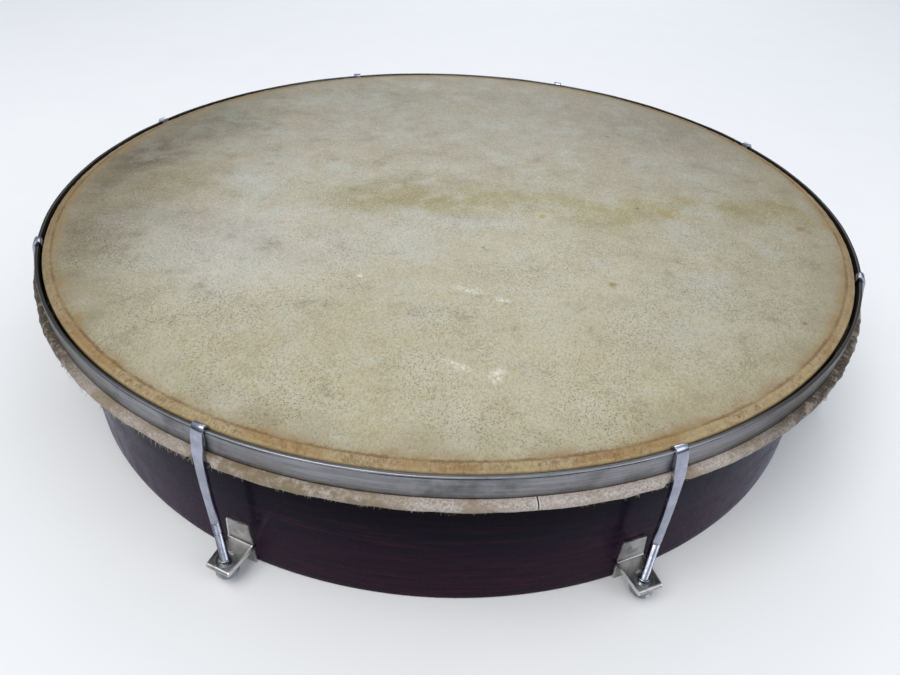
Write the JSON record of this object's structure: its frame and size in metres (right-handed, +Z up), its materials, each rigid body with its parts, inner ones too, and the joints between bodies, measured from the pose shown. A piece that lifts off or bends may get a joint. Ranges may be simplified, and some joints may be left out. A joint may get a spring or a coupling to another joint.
{
  "type": "tambourine",
  "caption": "Tunable frame-drum tambourine without jingles: round wooden shell, natural skin head, steel counterhoop, tension hooks and nuts in shell brackets.",
  "frame": {"origin": "centre of the shell's lower rim", "axes": "+Z up out of the playing surface; +X and +Y in the plane of the lower rim, each midway between two tension hooks"},
  "size_m": [0.4224, 0.4224, 0.0814],
  "materials": {
    "varnished_wood": "dark mahogany stain under high gloss varnish",
    "skin": "natural unbleached skin, mottled, matt",
    "hoop_steel": "dull brushed steel with a worn bright edge",
    "bracket_nickel": "worn satin nickel plate",
    "hook_chrome": "worn chrome plate",
    "nut_steel": "plain turned steel",
    "screw_steel": "plain zinc-plated steel"
  },
  "bodies": {
    "drum": {"shell": "varnished_wood", "drumhead": "skin", "bracket_screws": "screw_steel", "screw_washers": "screw_steel", "bracket_1": "bracket_nickel", "bracket_2": "bracket_nickel", "bracket_3": "bracket_nickel", "bracket_4": "bracket_nickel", "bracket_5": "bracket_nickel", "bracket_6": "bracket_nickel", "bracket_7": "bracket_nickel", "bracket_8": "bracket_nickel"},
    "tension_rim": {"counterhoop": "hoop_steel", "flesh_hoop": "hoop_steel", "skin_lap": "skin"},
    "hook_1": {"hook_1": "hook_chrome"},
    "nut_1": {"nut_1": "nut_steel"},
    "hook_2": {"hook_2": "hook_chrome"},
    "nut_2": {"nut_2": "nut_steel"},
    "hook_3": {"hook_3": "hook_chrome"},
    "nut_3": {"nut_3": "nut_steel"},
    "hook_4": {"hook_4": "hook_chrome"},
    "nut_4": {"nut_4": "nut_steel"},
    "hook_5": {"hook_5": "hook_chrome"},
    "nut_5": {"nut_5": "nut_steel"},
    "hook_6": {"hook_6": "hook_chrome"},
    "nut_6": {"nut_6": "nut_steel"},
    "hook_7": {"hook_7": "hook_chrome"},
    "nut_7": {"nut_7": "nut_steel"},
    "hook_8": {"hook_8": "hook_chrome"},
    "nut_8": {"nut_8": "nut_steel"}
  },
  "joints": [
    {"name": "rim_slide", "type": "slide", "parent": "drum", "child": "tension_rim", "axis": [0, 0, 1], "range_m": [-0.003, 0.0025]},
    {"name": "hook_1_slide", "type": "slide", "parent": "drum", "child": "hook_1", "axis": [0, 0, 1], "range_m": [-0.003, 0.0025]},
    {"name": "hook_2_slide", "type": "slide", "parent": "drum", "child": "hook_2", "axis": [0, 0, 1], "range_m": [-0.003, 0.0025]},
    {"name": "hook_3_slide", "type": "slide", "parent": "drum", "child": "hook_3", "axis": [0, 0, 1], "range_m": [-0.003, 0.0025]},
    {"name": "hook_4_slide", "type": "slide", "parent": "drum", "child": "hook_4", "axis": [0, 0, 1], "range_m": [-0.003, 0.0025]},
    {"name": "hook_5_slide", "type": "slide", "parent": "drum", "child": "hook_5", "axis": [0, 0, 1], "range_m": [-0.003, 0.0025]},
    {"name": "hook_6_slide", "type": "slide", "parent": "drum", "child": "hook_6", "axis": [0, 0, 1], "range_m": [-0.003, 0.0025]},
    {"name": "hook_7_slide", "type": "slide", "parent": "drum", "child": "hook_7", "axis": [0, 0, 1], "range_m": [-0.003, 0.0025]},
    {"name": "hook_8_slide", "type": "slide", "parent": "drum", "child": "hook_8", "axis": [0, 0, 1], "range_m": [-0.003, 0.0025]},
    {"name": "nut_1_turn", "type": "hinge", "parent": "drum", "child": "nut_1", "pos_m": [0.19438, 0.08052, 0.0091], "axis": [0, 0, 1], "range_deg": [-1510, 1810]},
    {"name": "nut_2_turn", "type": "hinge", "parent": "drum", "child": "nut_2", "pos_m": [0.08052, 0.19438, 0.0091], "axis": [0, 0, 1], "range_deg": [-1510, 1810]},
    {"name": "nut_3_turn", "type": "hinge", "parent": "drum", "child": "nut_3", "pos_m": [-0.08052, 0.19438, 0.0091], "axis": [0, 0, 1], "range_deg": [-1510, 1810]},
    {"name": "nut_4_turn", "type": "hinge", "parent": "drum", "child": "nut_4", "pos_m": [-0.19438, 0.08052, 0.0091], "axis": [0, 0, 1], "range_deg": [-1510, 1810]},
    {"name": "nut_5_turn", "type": "hinge", "parent": "drum", "child": "nut_5", "pos_m": [-0.19438, -0.08052, 0.0091], "axis": [0, 0, 1], "range_deg": [-1510, 1810]},
    {"name": "nut_6_turn", "type": "hinge", "parent": "drum", "child": "nut_6", "pos_m": [-0.08052, -0.19438, 0.0091], "axis": [0, 0, 1], "range_deg": [-1510, 1810]},
    {"name": "nut_7_turn", "type": "hinge", "parent": "drum", "child": "nut_7", "pos_m": [0.08052, -0.19438, 0.0091], "axis": [0, 0, 1], "range_deg": [-1510, 1810]},
    {"name": "nut_8_turn", "type": "hinge", "parent": "drum", "child": "nut_8", "pos_m": [0.19438, -0.08052, 0.0091], "axis": [0, 0, 1], "range_deg": [-1510, 1810]}
  ],
  "couplings": [
    {"joint": "hook_1_slide", "follows": "rim_slide", "ratio": 1},
    {"joint": "hook_2_slide", "follows": "rim_slide", "ratio": 1},
    {"joint": "hook_3_slide", "follows": "rim_slide", "ratio": 1},
    {"joint": "hook_4_slide", "follows": "rim_slide", "ratio": 1},
    {"joint": "hook_5_slide", "follows": "rim_slide", "ratio": 1},
    {"joint": "hook_6_slide", "follows": "rim_slide", "ratio": 1},
    {"joint": "hook_7_slide", "follows": "rim_slide", "ratio": 1},
    {"joint": "hook_8_slide", "follows": "rim_slide", "ratio": 1},
    {"joint": "nut_1_turn", "follows": "rim_slide", "rad_per_m": -10472},
    {"joint": "nut_2_turn", "follows": "rim_slide", "rad_per_m": -10472},
    {"joint": "nut_3_turn", "follows": "rim_slide", "rad_per_m": -10472},
    {"joint": "nut_4_turn", "follows": "rim_slide", "rad_per_m": -10472},
    {"joint": "nut_5_turn", "follows": "rim_slide", "rad_per_m": -10472},
    {"joint": "nut_6_turn", "follows": "rim_slide", "rad_per_m": -10472},
    {"joint": "nut_7_turn", "follows": "rim_slide", "rad_per_m": -10472},
    {"joint": "nut_8_turn", "follows": "rim_slide", "rad_per_m": -10472}
  ]
}
